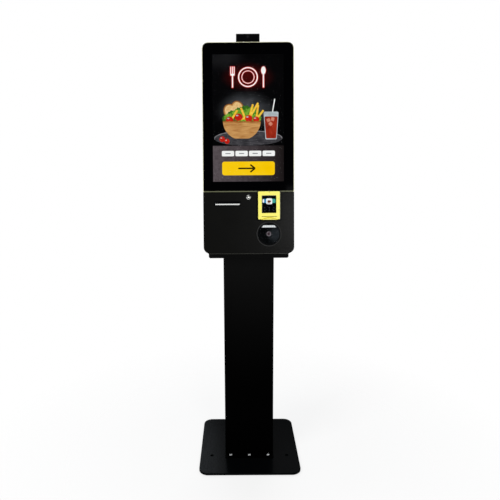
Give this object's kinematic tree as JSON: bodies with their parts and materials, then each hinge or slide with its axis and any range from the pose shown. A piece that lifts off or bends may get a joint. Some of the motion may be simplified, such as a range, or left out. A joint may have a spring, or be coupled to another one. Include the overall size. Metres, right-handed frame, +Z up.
{
  "type": "self-order kiosk",
  "caption": "Floor-standing self-order kiosk: leaning portrait touch screen over a drop-down door with receipt slot, card terminal and scanner, on a box column with a square plate.",
  "frame": {"origin": "middle of the footprint on the floor", "axes": "+Z up, the screen faces -Y, +X to the right of someone who looks at the screen"},
  "size_m": [0.4, 0.4, 1.6816],
  "materials": {
    "gloss_black_steel": "gloss",
    "satin_black_steel": "satin",
    "satin_black_door": "satin",
    "yellow_frame_paint": "satin",
    "rubber": "matte",
    "zinc": "satin",
    "black_screw": "satin",
    "sheet_zinc": "satin",
    "ground_steel": "polished",
    "chrome": "polished",
    "cover_glass": "clear in the middle, black border",
    "foam": "matte",
    "lcd_case": "satin",
    "circuit_board": "matte",
    "aluminium": "satin",
    "black_plastic": "matte",
    "pale_plastic": "gloss",
    "light_plastic": "gloss",
    "yellow_plastic": "satin",
    "small_glass": "clear",
    "window_glass": "clear",
    "lens_glass": "gloss",
    "gear_plastic": "satin",
    "brass": "satin"
  },
  "bodies": {
    "kiosk": {"base_plate": "gloss_black_steel", "foot_pads": "rubber", "foot_pad_screws": "black_screw", "column_foot": "satin_black_steel", "column_bolts": "zinc", "column_shell": "satin_black_steel", "column_cap": "satin_black_steel", "column_rear_cover": "satin_black_steel", "column_cover_screws": "black_screw", "saddle_tray": "satin_black_steel", "neck_bolts": "zinc", "rear_housing": "satin_black_steel", "mid_frame": "yellow_frame_paint", "display_glass": "cover_glass", "glass_gasket": "foam", "lcd_panel": "lcd_case", "lcd_rails": "sheet_zinc", "board_plate": "sheet_zinc", "main_board": "circuit_board", "power_supply": "sheet_zinc", "speakers": "black_plastic", "rear_cover": "satin_black_steel", "rear_cover_screws": "black_screw", "power_inlet": "black_plastic", "lock_strike": "sheet_zinc", "pivot_brackets": "sheet_zinc", "pivot_pins": "ground_steel", "printer_chassis": "sheet_zinc", "printer_bucket": "black_plastic", "cutter_frame": "sheet_zinc", "print_head": "aluminium", "feed_motor": "zinc", "camera_bracket": "satin_black_steel", "camera_pin": "ground_steel"},
    "service_door": {"door_panel": "satin_black_door", "slot_bezel": "black_plastic", "slot_lip": "pale_plastic", "terminal_frame": "yellow_plastic", "terminal_body": "black_plastic", "terminal_glass": "small_glass", "terminal_clamp": "sheet_zinc", "scanner_ring": "black_plastic", "scanner_cup": "black_plastic", "scanner_window": "window_glass", "scanner_light": "light_plastic", "scanner_lens": "lens_glass", "lock_barrel": "chrome"},
    "lock": {"lock_plug": "chrome", "lock_cam": "zinc"},
    "platen": {"platen_shaft": "ground_steel", "platen_roller": "rubber", "platen_gear": "gear_plastic"},
    "idler": {"idler_gear": "gear_plastic"},
    "motor_rotor": {"motor_gear": "brass", "motor_shaft": "ground_steel"},
    "cutter": {"cutter_blade": "ground_steel"},
    "camera": {"camera_housing": "black_plastic", "camera_lens": "lens_glass"},
    "switch": {"power_switch": "black_plastic"}
  },
  "joints": [
    {"name": "door_hinge", "type": "hinge", "parent": "kiosk", "child": "service_door", "pos_m": [0, -0.11377, 0.87059], "axis": [1, 0, 0], "range_deg": [0, 90]},
    {"name": "lock_turn", "type": "hinge", "parent": "service_door", "child": "lock", "pos_m": [0, -0.09821, 1.07608], "axis": [0, 0.9945, -0.1045], "range_deg": [-90, 0]},
    {"name": "platen_spin", "type": "hinge", "parent": "kiosk", "child": "platen", "pos_m": [-0.08, -0.05525, 1.04467], "axis": [1, 0, 0], "continuous": true},
    {"name": "idler_spin", "type": "hinge", "parent": "kiosk", "child": "idler", "pos_m": [-0.08, -0.03377, 1.04242], "axis": [1, 0, 0], "continuous": true},
    {"name": "motor_spin", "type": "hinge", "parent": "kiosk", "child": "motor_rotor", "pos_m": [-0.08, -0.01587, 1.04053], "axis": [1, 0, 0], "continuous": true},
    {"name": "blade_slide", "type": "slide", "parent": "kiosk", "child": "cutter", "axis": [0, 0.1045, 0.9945], "range_m": [0, 0.009]},
    {"name": "camera_tilt", "type": "hinge", "parent": "kiosk", "child": "camera", "pos_m": [0, -0.0237, 1.6606], "axis": [1, 0, 0], "range_deg": [-12, 12]},
    {"name": "switch_rock", "type": "hinge", "parent": "kiosk", "child": "switch", "pos_m": [0.098, 0.067, 0.94027], "axis": [1, 0, 0], "range_deg": [-16, 0]}
  ],
  "couplings": [
    {"joint": "idler_spin", "follows": "platen_spin", "ratio": -0.8},
    {"joint": "motor_spin", "follows": "platen_spin", "ratio": 1.6}
  ]
}
